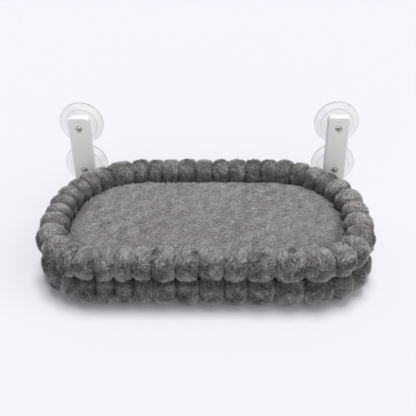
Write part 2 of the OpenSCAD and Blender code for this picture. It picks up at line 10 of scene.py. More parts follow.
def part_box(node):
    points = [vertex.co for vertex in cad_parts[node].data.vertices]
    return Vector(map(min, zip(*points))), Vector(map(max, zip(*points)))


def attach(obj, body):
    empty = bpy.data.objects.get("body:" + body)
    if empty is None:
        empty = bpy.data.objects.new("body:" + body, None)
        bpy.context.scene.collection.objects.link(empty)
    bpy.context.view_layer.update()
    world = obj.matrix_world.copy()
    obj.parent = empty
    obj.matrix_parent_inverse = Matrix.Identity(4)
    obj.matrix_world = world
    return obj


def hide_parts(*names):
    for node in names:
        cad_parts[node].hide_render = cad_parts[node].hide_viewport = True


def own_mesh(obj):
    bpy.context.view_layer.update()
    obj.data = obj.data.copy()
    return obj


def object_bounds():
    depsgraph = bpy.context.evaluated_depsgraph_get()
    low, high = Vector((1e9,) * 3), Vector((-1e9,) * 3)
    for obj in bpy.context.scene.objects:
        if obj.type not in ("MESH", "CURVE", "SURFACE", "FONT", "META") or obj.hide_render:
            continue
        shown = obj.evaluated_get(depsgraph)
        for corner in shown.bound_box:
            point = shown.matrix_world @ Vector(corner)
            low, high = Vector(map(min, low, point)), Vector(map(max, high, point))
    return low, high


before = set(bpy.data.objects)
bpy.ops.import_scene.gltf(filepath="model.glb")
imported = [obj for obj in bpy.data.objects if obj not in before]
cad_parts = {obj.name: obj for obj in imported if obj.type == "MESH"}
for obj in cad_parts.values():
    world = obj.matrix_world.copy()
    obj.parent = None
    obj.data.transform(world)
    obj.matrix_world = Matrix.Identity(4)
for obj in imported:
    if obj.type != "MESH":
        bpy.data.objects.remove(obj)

cad_low, cad_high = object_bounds()
scene = bpy.context.scene

# Camera
# It stands in front of the perch, a little to the right, and looks down on the bed. The
# angles and the lens come from the cups' ellipses, the screws and the arms' edges.
CAMERA_PLACE = Vector((0.0397, -0.9298, 0.6882))
CAMERA_PITCH, CAMERA_YAW, CAMERA_ROLL = (math.radians(a) for a in (32.884, -2.255, -1.105))
ahead = Vector((math.sin(CAMERA_YAW) * math.cos(CAMERA_PITCH),
                math.cos(CAMERA_YAW) * math.cos(CAMERA_PITCH), -math.sin(CAMERA_PITCH)))
level = Vector((math.cos(CAMERA_YAW), -math.sin(CAMERA_YAW), 0))
above = level.cross(ahead)
camera_right = math.cos(CAMERA_ROLL) * level + math.sin(CAMERA_ROLL) * above
camera_up = math.cos(CAMERA_ROLL) * above - math.sin(CAMERA_ROLL) * level
camera = bpy.data.objects.new("camera", bpy.data.cameras.new("camera"))
scene.collection.objects.link(camera)
camera.data.lens, camera.data.sensor_width = 53.97, 36.0
turn = Matrix((camera_right, camera_up, -ahead)).transposed().to_4x4()
camera.matrix_world = Matrix.Translation(CAMERA_PLACE) @ turn
scene.camera = camera
scene.view_settings.view_transform = "Standard"

# Plush sleeve of the bolster
# Each tier is a closed sleeve of knitted backing that carries the pile, filled with
# fibre and sewn across into 42 lobes. The seams draw it in, and the filling puffs it
# out between them. The upper tier is sewn to the lower one, which stands on the floor.
# LOBE_SHARES gives each lobe's part of the ring, from the middle of the front rightwards.
LOBE_SHARES = (40, 37, 44, 48, 43, 34, 30, 38, 38, 36, 40, 34, 26, 31, 31, 31, 31, 31, 31, 32, 33,
               33, 32, 28, 31, 47, 30, 28, 27, 28, 29, 26, 37, 40, 38, 27, 28, 29, 32, 31, 38, 36)
LOBE_START_SHARE = -0.0057
USUAL_SHARE, PLUMP_GAIN, PLUMP_SPREAD = 34, 0.0012, 0.03
SEAM_LEAN, SEAM_BEND = 0.05, 0.35
FRONT_BEND, BACK_BEND = 0.090, 0.148
PILE_DEPTH = 0.0036
SEAM_DEPTH_SHARE = 0.18
SECTION_SQUARENESS = 2.3
JOINT_FULLNESS, FRONT_SLUMP = 0.25, 0.09
LOBE_CELLS, ROUND_CELLS = 12, 36
tier_low, tier_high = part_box("upper_bolster")
floor_low, floor_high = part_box("lower_bolster")
tier_half = (tier_high.z - tier_low.z) / 2
half_length = tier_high.x - tier_half
half_depth = (tier_high.y - tier_low.y) / 2 - tier_half
bed_y = (tier_high.y + tier_low.y) / 2
front_run, side_run = half_length - FRONT_BEND, 2 * half_depth - FRONT_BEND - BACK_BEND
front_arc, back_arc = math.pi / 2 * FRONT_BEND, math.pi / 2 * BACK_BEND
back_run = half_length - BACK_BEND
half_ring = front_run + front_arc + side_run + back_arc + back_run
lobe_count = len(LOBE_SHARES)
seam_shares = np.concatenate([[0], np.cumsum(LOBE_SHARES)]) / sum(LOBE_SHARES)


def ring_place(share, inset=0.0):
    """Points on the ring's centreline, and the ways outward there, for shares of its length."""
    along = (share % 1) * 2 * half_ring
    side = np.where(along <= half_ring, 1.0, -1.0)
    run = np.where(along <= half_ring, along, 2 * half_ring - along)
    first = np.clip(run - front_run, 0, front_arc) / FRONT_BEND
    second = np.clip(run - front_run - front_arc - side_run, 0, back_arc) / BACK_BEND
    straight = np.clip(run - front_run - front_arc, 0, side_run)
    back = np.clip(run - half_ring + back_run, 0, back_run)
    x = (np.clip(run, 0, front_run) + FRONT_BEND * np.sin(first)
         - BACK_BEND * (1 - np.cos(second)) - back)
    y = (FRONT_BEND * (1 - np.cos(first)) + straight + BACK_BEND * np.sin(second) - half_depth)
    out_x, out_y = side * np.sin(first + second), -np.cos(first + second)
    return side * x - inset * out_x, bed_y + y - inset * out_y, out_x, out_y


def new_piece(name, bm):
    """A finished mesh as a smooth piece at the origin."""
    mesh = bpy.data.meshes.new(name)
    bm.to_mesh(mesh)
    bm.free()
    mesh.shade_smooth()
    piece = bpy.data.objects.new(name, mesh)
    scene.collection.objects.link(piece)
    return piece


def tier_sleeve(name, middle_z, lowest, highest, is_upper, seed):
    """One tier as a grid wrapped round the ring, drawn in at its seams."""
    draw = np.random.default_rng(seed)
    plump = (1 + draw.uniform(-PLUMP_SPREAD, PLUMP_SPREAD, lobe_count)
             + (np.array(LOBE_SHARES) - USUAL_SHARE) * PLUMP_GAIN)
    lean = draw.uniform(-SEAM_LEAN, SEAM_LEAN, lobe_count + 1)
    lean[-1] = lean[0]
    cells = lobe_count * LOBE_CELLS
    bm = bmesh.new()
    bmesh.ops.create_grid(bm, x_segments=cells, y_segments=ROUND_CELLS, size=0.5)
    bm.verts.ensure_lookup_table()
    grid = np.array([v.co[:2] for v in bm.verts]) + 0.5
    column = np.rint(grid[:, 0] * cells).astype(int)
    row = np.rint(grid[:, 1] * ROUND_CELLS).astype(int)
    lobe, cell = (column // LOBE_CELLS) % lobe_count, column % LOBE_CELLS
    across = (1 - np.cos(math.pi * cell / LOBE_CELLS)) / 2
    angle = 2 * math.pi * row / ROUND_CELLS
    low = np.clip(-np.sin(angle), 0, 1) * (0 if is_upper else 1)
    to_joint = np.clip(-np.sin(angle) if is_upper else np.sin(angle), 0, 1)
    bend = np.sin(2 * angle)
    start = seam_shares[lobe] + lean[lobe] * bend / lobe_count * SEAM_BEND
    end = seam_shares[lobe + 1] + lean[lobe + 1] * bend / lobe_count * SEAM_BEND
    share = LOBE_START_SHARE + start + (end - start) * across
    x, y, out_x, out_y = ring_place(share)
    frontness = np.clip((bed_y - y) / half_depth, 0, 1)
    backness = np.clip((y - bed_y) / half_depth, 0, 1)
    # Nearly round at the bed's ends, fuller in front, and like barrels at the back
    squareness = 1.9 + 0.5 * frontness * (1 - low) + backness
    puff = (1 - np.abs(2 * across - 1) ** squareness) ** (1 / squareness)
    seam_depth = SEAM_DEPTH_SHARE * (1 - 0.4 * low) * (0.35 + 1.05 * frontness + 1.2 * backness)
    puff = seam_depth + (1 - seam_depth) * puff
    reach = (tier_half - PILE_DEPTH) * puff * plump[lobe]
    round_share = 2 / SECTION_SQUARENESS
    out = reach * np.sign(np.cos(angle)) * np.abs(np.cos(angle)) ** round_share
    up = reach * np.sign(np.sin(angle)) * np.abs(np.sin(angle)) ** round_share
    z = np.clip(middle_z + up * (1 + JOINT_FULLNESS * to_joint), lowest, highest)
    slump = np.clip((bed_y - y - out * out_y) / half_depth, 0, 1) ** 2 * FRONT_SLUMP
    z = lowest + (z - lowest) * (1 - slump * (1 if is_upper else 0))
    for vertex, place in zip(bm.verts, np.stack([x + out * out_x, y + out * out_y, z], 1)):
        vertex.co = place
    along_layer = bm.verts.layers.int.new("column")
    round_layer = bm.verts.layers.int.new("row")
    for vertex, c, r in zip(bm.verts, column % cells, row % ROUND_CELLS):
        vertex[along_layer], vertex[round_layer] = int(c), int(r)
    bmesh.ops.remove_doubles(bm, verts=bm.verts, dist=1e-6)
    bmesh.ops.recalc_face_normals(bm, faces=bm.faces)
    return new_piece(name, bm)


def vertex_places(mesh):
    """The mesh's vertices as rows of x, y and z."""
    places = np.empty(len(mesh.vertices) * 3)
    mesh.vertices.foreach_get("co", places)
    return places.reshape(-1, 3)


def puff_out(piece, held, most, growth):
    """Cloth blown up by its filling, with the held points sewn down.

    It is cut larger by the share growth, and no point moves by more than most.
    """
    rest = vertex_places(piece.data)
    group = piece.vertex_groups.new(name="sewn")
    group.add([int(i) for i in np.flatnonzero(held)], 1.0, "REPLACE")
    cloth = piece.modifiers.new("cloth", "CLOTH")
    cloth.settings.quality = 4
    cloth.settings.mass = 0.2
    cloth.settings.vertex_group_mass = group.name
    cloth.settings.use_pressure = True
    cloth.settings.uniform_pressure_force = 4.0
    cloth.settings.shrink_min = -growth
    cloth.settings.effector_weights.gravity = 0.0
    for step in range(1, 21):
        scene.frame_set(step)
    blown = piece.evaluated_get(bpy.context.evaluated_depsgraph_get()).to_mesh()
    move = vertex_places(blown) - rest
    piece.modifiers.remove(cloth)
    piece.vertex_groups.remove(group)
    scene.frame_set(1)
    length = np.linalg.norm(move, axis=1, keepdims=True)
    move *= np.minimum(1, most / np.maximum(length, 1e-9))
    piece.data.vertices.foreach_set("co", (rest + move).ravel())
    piece.data.update()


def attribute_values(mesh, name):
    """A whole-number attribute of the mesh's vertices."""
    values = np.empty(len(mesh.vertices), int)
    mesh.attributes[name].data.foreach_get("value", values)
    return values


upper_sleeve = tier_sleeve("upper_bolster_sleeve", (tier_low.z + tier_high.z) / 2,
                           tier_low.z, tier_high.z, True, 3)
lower_sleeve = tier_sleeve("lower_bolster_sleeve", (floor_low.z + floor_high.z) / 2,
                           floor_low.z, floor_high.z, False, 5)
for sleeve, low_z, high_z in ((upper_sleeve, tier_low.z, tier_high.z + 0.001),
                              (lower_sleeve, floor_low.z, floor_high.z)):
    seams = attribute_values(sleeve.data, "column") % LOBE_CELLS == 0
    puff_out(sleeve, seams, most=0.004, growth=0.06)
    places = vertex_places(sleeve.data)
    places[:, 2] = np.clip(places[:, 2], low_z, high_z)
    sleeve.data.vertices.foreach_set("co", places.ravel())
    sleeve.data.update()
    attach(sleeve, "bed")
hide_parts("upper_bolster")
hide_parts("lower_bolster")


def linear(colour):
    """An sRGB hex colour as linear numbers with alpha."""
    parts = [int(colour[i:i + 2], 16) / 255 for i in (0, 2, 4)]
    return [p / 12.92 if p <= 0.04045 else ((p + 0.055) / 1.055) ** 2.4 for p in parts] + [1.0]


def add_node(tree, kind, inputs=(), **settings):
    """A new node with its settings, and each input set to a value or linked to a socket."""
    made = tree.nodes.new(kind)
    for key, value in settings.items():
        setattr(made, key, value)
    for key, value in dict(inputs).items():
        if isinstance(value, bpy.types.NodeSocket):
            tree.links.new(value, made.inputs[key])
        else:
            made.inputs[key].default_value = value
    return made


def new_material(name):
    """An empty material's node tree and its shader."""
    material = bpy.data.materials.new(name)
    material.use_nodes = True
    return material, material.node_tree, material.node_tree.nodes["Principled BSDF"]


# Backing of the plush, knitted in polyester. Between the tufts it is a matt knit with a grain
# of 2.4 mm, and its dark grey is painted shade, so the seams and the gaps in the pile read as
# thin dark lines.
plush_back, tree, shader = new_material("polyester_plush_backing")
where = add_node(tree, "ShaderNodeTexCoord")
knit = add_node(tree, "ShaderNodeTexNoise", {"Vector": where.outputs["Object"], "Scale": 420.0,
                                             "Detail": 2.0})
tone = add_node(tree, "ShaderNodeMix", {"Factor": knit.outputs["Fac"], "A": linear("625E5E"),
                                        "B": linear("7C7878")}, data_type="RGBA")
tree.links.new(tone.outputs["Result"], shader.inputs["Base Color"])
dents = add_node(tree, "ShaderNodeBump", {"Height": knit.outputs["Fac"], "Strength": 0.5,
                                          "Distance": 0.001})
tree.links.new(dents.outputs["Normal"], shader.inputs["Normal"])
shader.inputs["Roughness"].default_value = 0.95
for sleeve in (upper_sleeve, lower_sleeve):
    sleeve.data.materials.append(plush_back)

# Pile of the bolster
# The pile is soft polyester fibre, 3 to 7 mm long, that clings together in small pointed
# locks. It lies smoothly at the sides, in tousled swirls in front and at the back, and is
# short at the seams, where shade is painted into its tone, as it is by the joint between the
# tiers. Light is painted on as paler tone on the crowns, the feet and the sides. The fibres
# are too fine to draw, so a lock is 1.4 mm wide.
LOCK_AREA, LOCK_WIDTH, PILE_LENGTH = 3.6e-6, 0.0014, 0.0060
LOCK_BELLY, LOCK_FLATNESS = 2.1, 0.7
LOCK_LEAST_HEIGHT, LOCK_MORE_HEIGHT, LOCK_CURL = 0.0009, 0.0026, 0.0012
ROOT_SINK = 0.0006
NAP_LEAN, LOCK_ROUNDNESS = 0.55, 0.6
MOST_LOCKS = 19000
# Degrees round a tier from its joint with the other: up to where the cloth is bare, where
# the pile is drawn to the joint, and where shade from the joint is painted into its tone
JOINT_BARE, JOINT_PULL, JOINT_SHADE = 24, 55, 80
# Shares of half a lobe from a seam: where the pile is shorter, and where it is thinned out
SEAM_SHORT, SEAM_THIN = 0.5, 0.18
# Radians round a tier that a lobe's swirl reaches, and how strongly it turns the pile
SWIRL_REACH, SWIRL_PULL = 1.1, 1.4
# Tones of the pile: its body, and the painted light on the crowns and the feet in front and at the
# sides
BODY_TONE, FRONT_CROWN_PAINTED_LIGHT, FRONT_FOOT_PAINTED_LIGHT, SIDE_PAINTED_LIGHT = 0.21, 0.34, 0.62, 0.84


def lock_of_pile():
    """The corners and faces of one lock, a pointed prism with its root at z 0 and tip at z 1."""
    bm = bmesh.new()
    bmesh.ops.create_cone(bm, cap_ends=True, segments=3, radius1=0.5, radius2=0.0, depth=1.0,
                          matrix=Matrix.Translation((0, 0, 0.5)))
    sides = [e for e in bm.edges if abs(e.verts[0].co.z - e.verts[1].co.z) > 0.5]
    cut = bmesh.ops.subdivide_edges(bm, edges=sides, cuts=1)
    middle = [v for v in cut["geom_inner"] if isinstance(v, bmesh.types.BMVert)]
    bmesh.ops.scale(bm, vec=(LOCK_BELLY, LOCK_BELLY, 1.0), verts=middle)
    bm.verts.index_update()
    corners = np.array([v.co[:] for v in bm.verts])
    faces = [[v.index for v in f.verts] for f in bm.faces]
    bm.free()
    return corners, faces


lock_corners, lock_faces = lock_of_pile()


def unit(v):
    """Each row of v at a length of 1."""
    return v / np.maximum(np.linalg.norm(v, axis=1, keepdims=True), 1e-9)


def pile_piece(name, root, normal, way, length, height, curl, width, tone_and_painted_light):
    """Locks of pile as one mesh, each bent over along its way and pressed flat by the floor."""
    side = np.cross(normal, way)
    across, deep, h = (lock_corners[:, i][None, :, None] for i in range(3))
    places = (root[:, None] + way[:, None] * (length[:, None, None] * h)
              + normal[:, None] * (height[:, None, None] * (1 - (1 - h) ** 2)
                                   - ROOT_SINK * (1 - h))
              + side[:, None] * (curl[:, None, None] * h ** 2)
              + side[:, None] * (width[:, None, None] * across)
              + normal[:, None] * (width[:, None, None] * LOCK_FLATNESS * deep))
    places[:, :, 2] = np.maximum(places[:, :, 2], cad_low.z)
    count, corner_count = len(root), len(lock_corners)
    sizes = np.array([len(f) for f in lock_faces])
    loops = (np.concatenate(lock_faces)[None] + np.arange(count)[:, None] * corner_count).ravel()
    mesh = bpy.data.meshes.new(name)
    mesh.vertices.add(count * corner_count)
    mesh.vertices.foreach_set("co", places.ravel())
    mesh.loops.add(len(loops))
    mesh.loops.foreach_set("vertex_index", loops)
    mesh.polygons.add(count * len(sizes))
    starts = np.concatenate([[0], np.cumsum(np.tile(sizes, count))[:-1]])
    mesh.polygons.foreach_set("loop_start", starts)
    mesh.update(calc_edges=True)
    mesh.shade_smooth()
    # The light falls on a lock as on the cloth under it, bent a little by the lock's own form
    own = side[:, None] * across + normal[:, None] * deep
    facing = normal[:, None] + way[:, None] * NAP_LEAN + own * LOCK_ROUNDNESS
    mesh.normals_split_custom_set_from_vertices(unit(facing.reshape(-1, 3)))
    # Each lock's tip share, and its tone with the painted light and shade in it
    for key, value in (("tip", np.tile(lock_corners[:, 2], count)),
                       ("tone", np.repeat(tone_and_painted_light, corner_count))):
        layer = mesh.attributes.new(key, "FLOAT", "POINT")
        layer.data.foreach_set("value", value.astype(np.float32))
    piece = bpy.data.objects.new(name, mesh)
    scene.collection.objects.link(piece)
    return piece


def pile_pieces(name, root, *facts):
    """The locks as pieces small enough to export whole, cut across the length of the bed."""
    order = np.argsort(root[:, 0], kind="stable")
    parts = np.array_split(order, math.ceil(len(order) / MOST_LOCKS))
    return [pile_piece(f"{name}_{number}", root[part], *(v[part] for v in facts))
            for number, part in enumerate(parts, 1)]


def grid_of(sleeve):
    """The sleeve's places and normals as grids, along the ring by round the section."""
    column = attribute_values(sleeve.data, "column")
    row = attribute_values(sleeve.data, "row")
    normals = np.empty(len(column) * 3)
    sleeve.data.vertices.foreach_get("normal", normals)
    place_grid = np.zeros((lobe_count * LOBE_CELLS, ROUND_CELLS, 3))
    normal_grid = place_grid.copy()
    place_grid[column, row] = vertex_places(sleeve.data)
    normal_grid[column, row] = normals.reshape(-1, 3)
    return place_grid, normal_grid


def scattered_roots(sleeve, joint, draw):
    """Roots spread evenly over a sleeve, but for its joint: their places, normals and ways
    along the ring, their lobes, how far across them they are, and how far round the tier."""
    place_grid, normal_grid = grid_of(sleeve)
    next_column, next_row = np.roll(place_grid, -1, 0), np.roll(place_grid, -1, 1)
    area = np.linalg.norm(np.cross(next_column - place_grid, next_row - place_grid), axis=2)
    angle = (np.arange(ROUND_CELLS) + 0.5) / ROUND_CELLS * 360
    covered = np.abs(angle - joint) > JOINT_BARE
    wanted = area * covered[None] / LOCK_AREA
    count = np.floor(wanted + draw.random(wanted.shape)).astype(int).ravel()
    cell = np.repeat(np.arange(count.size), count)
    column, row = cell // ROUND_CELLS, cell % ROUND_CELLS
    a, b = draw.random(len(cell)), draw.random(len(cell))

    def between(grid):
        c1, r1 = (column + 1) % len(grid), (row + 1) % ROUND_CELLS
        return ((grid[column, row] * ((1 - a) * (1 - b))[:, None]
                 + grid[c1, row] * (a * (1 - b))[:, None]
                 + grid[column, r1] * ((1 - a) * b)[:, None] + grid[c1, r1] * (a * b)[:, None]))

    root, normal = between(place_grid), unit(between(normal_grid))
    along = unit(next_column[column, row] - place_grid[column, row])
    along = unit(along - normal * (along * normal).sum(1)[:, None])
    across = ((column % LOBE_CELLS) + a) / LOBE_CELLS * 2 - 1
    turned = (row + b) / ROUND_CELLS * 2 * math.pi
    return root, normal, along, column // LOBE_CELLS, across, turned


def smooth_noise(places, wave, seed):
    """A soft random value from -1 to 1 at each place, with bumps about one wave wide."""
    draw = np.random.default_rng(seed)
    value = np.zeros(len(places))
    for _ in range(10):
        way = draw.normal(size=3)
        way *= 2 * math.pi / wave / np.linalg.norm(way) * draw.uniform(0.6, 1.3)
        value += np.sin(places @ way + draw.uniform(0, 2 * math.pi))
    return value / 4.5


def swirling_ways(root, normal, along, lobe, across, turned, from_joint, by_seam, seed, draw):
    """The way each lock lies: round its lobe's swirl, towards the joint beside it, and
    otherwise where chance brushed it."""
    around = np.cross(normal, along)
    hand = np.where(draw.random(lobe_count) < 0.5, -1.0, 1.0)
    centre = draw.uniform(-0.5, 0.35, lobe_count)
    off = turned - centre[lobe] - 2 * math.pi * (turned > math.pi)
    swirl_along = -off * 1.3 * hand[lobe]
    swirl_around = across * hand[lobe]
    fade = np.exp(-(off / SWIRL_REACH) ** 2)
    drift = smooth_noise(root, 0.045, seed + 1) * 2.4 + smooth_noise(root, 0.016, seed + 2) * 1.1
    nap = drift + draw.normal(size=len(root)) * 0.35
    pull = -np.sign(from_joint) * np.clip(1 - np.abs(from_joint) / JOINT_PULL, 0, 1) * 1.6
    along_part = (swirl_along * fade * SWIRL_PULL + np.cos(nap)) * by_seam ** 1.5
    around_part = swirl_around * fade * SWIRL_PULL + np.sin(nap) + 0.35 + pull
    return unit(along * along_part[:, None] + around * around_part[:, None])


def painted_light_tones(root, across, turned, from_joint, lift, is_upper, seed, draw):
    """Each lock's tone from 0 to 1: patchy where the pile is tousled, with painted light on the
    crowns, feet and sides and on the highest locks, and painted shade at the seams and the joint."""
    frontness = np.clip((bed_y - root[:, 1]) / half_depth, 0, 1)
    sideness = 1 - np.clip(np.abs(root[:, 1] - bed_y) / half_depth, 0, 1)
    patches_and_painted_light = smooth_noise(root, 0.022, seed + 3) * 0.3 + smooth_noise(root, 0.009, seed + 4) * 0.2
    # Locks that stand higher are painted paler, as painted light that reaches them more
    patches_and_painted_light += 0.66 * (lift - 0.4) + draw.normal(size=len(root)) * 0.08
    # Painted light: paler on the crowns of the upper tier and the feet of the lower one, more so at
    # the sides
    outward = np.sin(turned) if is_upper else -np.sin(turned)
    front_painted_light = FRONT_CROWN_PAINTED_LIGHT if is_upper else FRONT_FOOT_PAINTED_LIGHT
    painted_light = front_painted_light + (SIDE_PAINTED_LIGHT - front_painted_light) * sideness
    narrow = 1.3 + 1.1 * frontness if is_upper else 1.3
    tones = (BODY_TONE + 0.05 * sideness + painted_light * np.clip(outward, 0, 1) ** narrow
             + patches_and_painted_light * (1 - 0.6 * sideness))
    tones = np.clip(tones, 0, 1)
    # Painted shade: the locks grow darker towards the seams
    seam_shade = (0.86 + 0.08 * frontness - np.abs(across)) / (0.42 - 0.10 * frontness)
    tones *= 0.15 + 0.85 * np.clip(seam_shade, 0, 1)
    # Painted shade: the locks grow darker towards the joint between the tiers
    return tones * (1 - 0.8 * np.clip(1 - np.abs(from_joint) / JOINT_SHADE, 0, 1))


def tier_pile(name, sleeve, is_upper, seed):
    """The locks on one tier, in pieces cut across the bed's length."""
    draw = np.random.default_rng(seed)
    joint = 270 if is_upper else 90
    root, normal, along, lobe, across, turned = scattered_roots(sleeve, joint, draw)
    from_joint = np.degrees(turned) - joint
    near_joint = np.clip(1 - np.abs(from_joint) / JOINT_PULL, 0, 1)
    by_seam = np.clip((1 - np.abs(across)) / SEAM_SHORT, 0, 1)
    sideness = 1 - np.clip(np.abs(root[:, 1] - bed_y) / half_depth, 0, 1)
    way = swirling_ways(root, normal, along, lobe, across, turned, from_joint, by_seam, seed,
                        draw)
    crest = np.clip(np.sin(turned), 0, 1) if is_upper else np.zeros(len(root))
    lift = draw.random(len(root)) ** 1.5
    length = PILE_LENGTH * (0.75 + 0.45 * lift) * (0.3 + 0.7 * by_seam)
    length *= (1 + 0.1 * near_joint) * (1 - 0.4 * sideness)
    height = (LOCK_LEAST_HEIGHT + LOCK_MORE_HEIGHT * lift) * (1 + 0.4 * crest)
    height *= 0.15 + 0.85 * by_seam
    height *= 1 - 0.5 * sideness
    curl = draw.normal(size=len(root)) * LOCK_CURL
    width = LOCK_WIDTH * draw.uniform(0.75, 1.25, len(root))
    tones = painted_light_tones(root, across, turned, from_joint, lift, is_upper, seed, draw)
    kept = draw.random(len(root)) < np.clip((1 - np.abs(across)) / SEAM_THIN - 0.3, 0, 1)
    return pile_pieces(name, *(v[kept] for v in (
        root, normal, way, length, height, curl, width, tones)))


# Polyester pile: the same dyed fibre throughout. It is painted darker at the root, as shade
# where light is lost between the locks, and is paler and slightly silky at the tip. Each lock's
# tone, which holds painted light and shade as well as random patches, runs it from dark to pale.
plush_pile, tree, shader = new_material("polyester_plush_pile")
tip = add_node(tree, "ShaderNodeAttribute", attribute_name="tip")
lock_tone_and_light = add_node(tree, "ShaderNodeAttribute", attribute_name="tone")
fibre = add_node(tree, "ShaderNodeMix", {"Factor": lock_tone_and_light.outputs["Fac"],
                                         "A": linear("3E3B3B"), "B": linear("C2BEBE")},
                 data_type="RGBA")
root_painted_shade = add_node(tree, "ShaderNodeMapRange", {"Value": tip.outputs["Fac"], "From Max": 0.7,
                                                  "To Min": 0.6, "To Max": 1.0})
depth = add_node(tree, "ShaderNodeVectorMath", {0: fibre.outputs["Result"],
                                                "Scale": root_painted_shade.outputs["Result"]},
                 operation="SCALE")
tree.links.new(depth.outputs["Vector"], shader.inputs["Base Color"])
shader.inputs["Roughness"].default_value = 0.8
shader.inputs["Specular IOR Level"].default_value = 0.2
shader.inputs["Sheen Weight"].default_value = 0.55
shader.inputs["Sheen Roughness"].default_value = 0.5

upper_pile = tier_pile("upper_pile", upper_sleeve, True, 11)
lower_pile = tier_pile("lower_pile", lower_sleeve, False, 23)
for piece in upper_pile + lower_pile:
    piece.data.materials.append(plush_pile)
    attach(piece, "bed")
for piece in [upper_sleeve] + upper_pile:
    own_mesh(piece)

# Sleeping pad
# A thin foam pad in a plush cover, laid in the well of the bolster. The cover is fuller
# than the foam, so the top is crowned and the edge is drawn in by its seam.
PAD_ROUND_CELLS, PAD_PROFILE_CELLS = 180, 44
PAD_EDGE_HEIGHT, PAD_EDGE_START, PAD_EDGE_SHARE = 0.0115, 0.93, 0.07
PAD_GAP, PAD_SWELLING = 0.002, 0.001
pad_low, pad_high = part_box("sleeping_pad")
pad_inset = half_length - pad_high.x - PAD_GAP
bm = bmesh.new()
bmesh.ops.create_grid(bm, x_segments=PAD_ROUND_CELLS, y_segments=PAD_PROFILE_CELLS, size=0.5)
grid = np.array([v.co[:2] for v in bm.verts]) + 0.5
rim = np.clip(np.minimum(grid[:, 1], 1 - grid[:, 1]) * 2.15, 0, 1)
x, y, *_ = ring_place(grid[:, 0], pad_inset)
swell = (grid[:, 1] - 0.5) * 2
edge = np.sqrt(np.clip(1 - np.clip((rim - PAD_EDGE_START) / PAD_EDGE_SHARE, 0, 1) ** 2, 0, 1))
height = pad_low.z + PAD_EDGE_HEIGHT / 2 + np.sign(swell) * edge * PAD_EDGE_HEIGHT / 2
height += np.where(swell > 0, (pad_high.z - pad_low.z - PAD_EDGE_HEIGHT - PAD_SWELLING)
                   * np.cos(rim * math.pi / 2) ** 0.8, 0)
for vertex, place in zip(bm.verts, np.stack([x * rim, bed_y + (y - bed_y) * rim, height], 1)):
    vertex.co = place
bmesh.ops.remove_doubles(bm, verts=bm.verts, dist=1e-5)
bmesh.ops.recalc_face_normals(bm, faces=bm.faces)
pad_cover = new_piece("sleeping_pad_cover", bm)
resting = vertex_places(pad_cover.data)[:, 2] < pad_low.z + 0.004
puff_out(pad_cover, resting, most=0.0015, growth=0.01)
pad_cover.data.materials.append(plush_back)
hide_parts("sleeping_pad", "pad_foam")
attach(pad_cover, "bed")

# Pile of the pad
# The same fibre, 8 mm long, brushed along the bed and lying flat, in fine streaks with a
# few tufts across them. The locks are drawn 1.6 mm wide and stand on the swollen cover.
PAD_LOCK_AREA, PAD_LOCK_LENGTH, PAD_LOCK_WIDTH = 4.2e-6, 0.0080, 0.0016
PAD_SHARE = 0.9
draw = np.random.default_rng(41)
count = int(4 * half_length * half_depth * PAD_SHARE / PAD_LOCK_AREA)
spot = draw.random((count, 2)) * 2 - 1
root = np.column_stack([spot[:, 0] * (half_length - pad_inset),
                        bed_y + spot[:, 1] * (half_depth - pad_inset)])
outline_x, outline_y, *_ = ring_place(np.linspace(0, 1, 721)[:-1], pad_inset + 0.001)
bearing = np.arctan2(outline_y - bed_y, outline_x)
order = np.argsort(bearing)
limit = np.interp(np.arctan2(root[:, 1] - bed_y, root[:, 0]), bearing[order],
                  np.hypot(outline_x, outline_y - bed_y)[order], period=2 * math.pi)
share = np.hypot(root[:, 0], root[:, 1] - bed_y) / limit
root, share = root[share < 1], share[share < 1]
cover = BVHTree.FromPolygons([v.co for v in pad_cover.data.vertices],
                             [p.vertices[:] for p in pad_cover.data.polygons])
found = [cover.ray_cast((x, y, pad_high.z + 0.02), (0, 0, -1))[0] for x, y in root]
share = share[np.array([hit is not None for hit in found])]
root = np.array([hit[:] for hit in found if hit])
root[:, 2] -= 0.0005
count = len(root)
rim = np.clip((share - 0.92) / 0.08, 0, 1)
outward = unit(np.column_stack([root[:, 0], root[:, 1] - bed_y, np.zeros(count)]))
normal = unit(np.array([0.0, 0.0, 1.0]) + outward * rim[:, None] * 0.5)
nap = (smooth_noise(root, 0.12, 42) * 0.5 + smooth_noise(root, 0.03, 43) * 0.5
       + draw.normal(size=count) * 0.4)
way = unit(np.column_stack([np.cos(nap), np.sin(nap), np.zeros(count)]) + outward * rim[:, None])
length = PAD_LOCK_LENGTH * draw.uniform(0.7, 1.2, count)
height = draw.uniform(0.0008, 0.0020, count)
curl = draw.normal(size=count) * 0.0008
width = PAD_LOCK_WIDTH * draw.uniform(0.7, 1.2, count)
# The pad's tone varies at random and is painted darker towards its rim, as shade where it meets the
# bolster
tones = (0.57 + smooth_noise(root, 0.03, 44) * 0.12 + smooth_noise(root, 0.010, 45) * 0.10
         + draw.normal(size=count) * 0.16) * (1 - 0.6 * rim)
pad_pile = pile_pieces("sleeping_pad_pile", root, normal, way, length, height, curl, width,
                       np.clip(tones, 0, 1))
for piece in pad_pile:
    piece.data.materials.append(plush_pile)
    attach(piece, "bed")

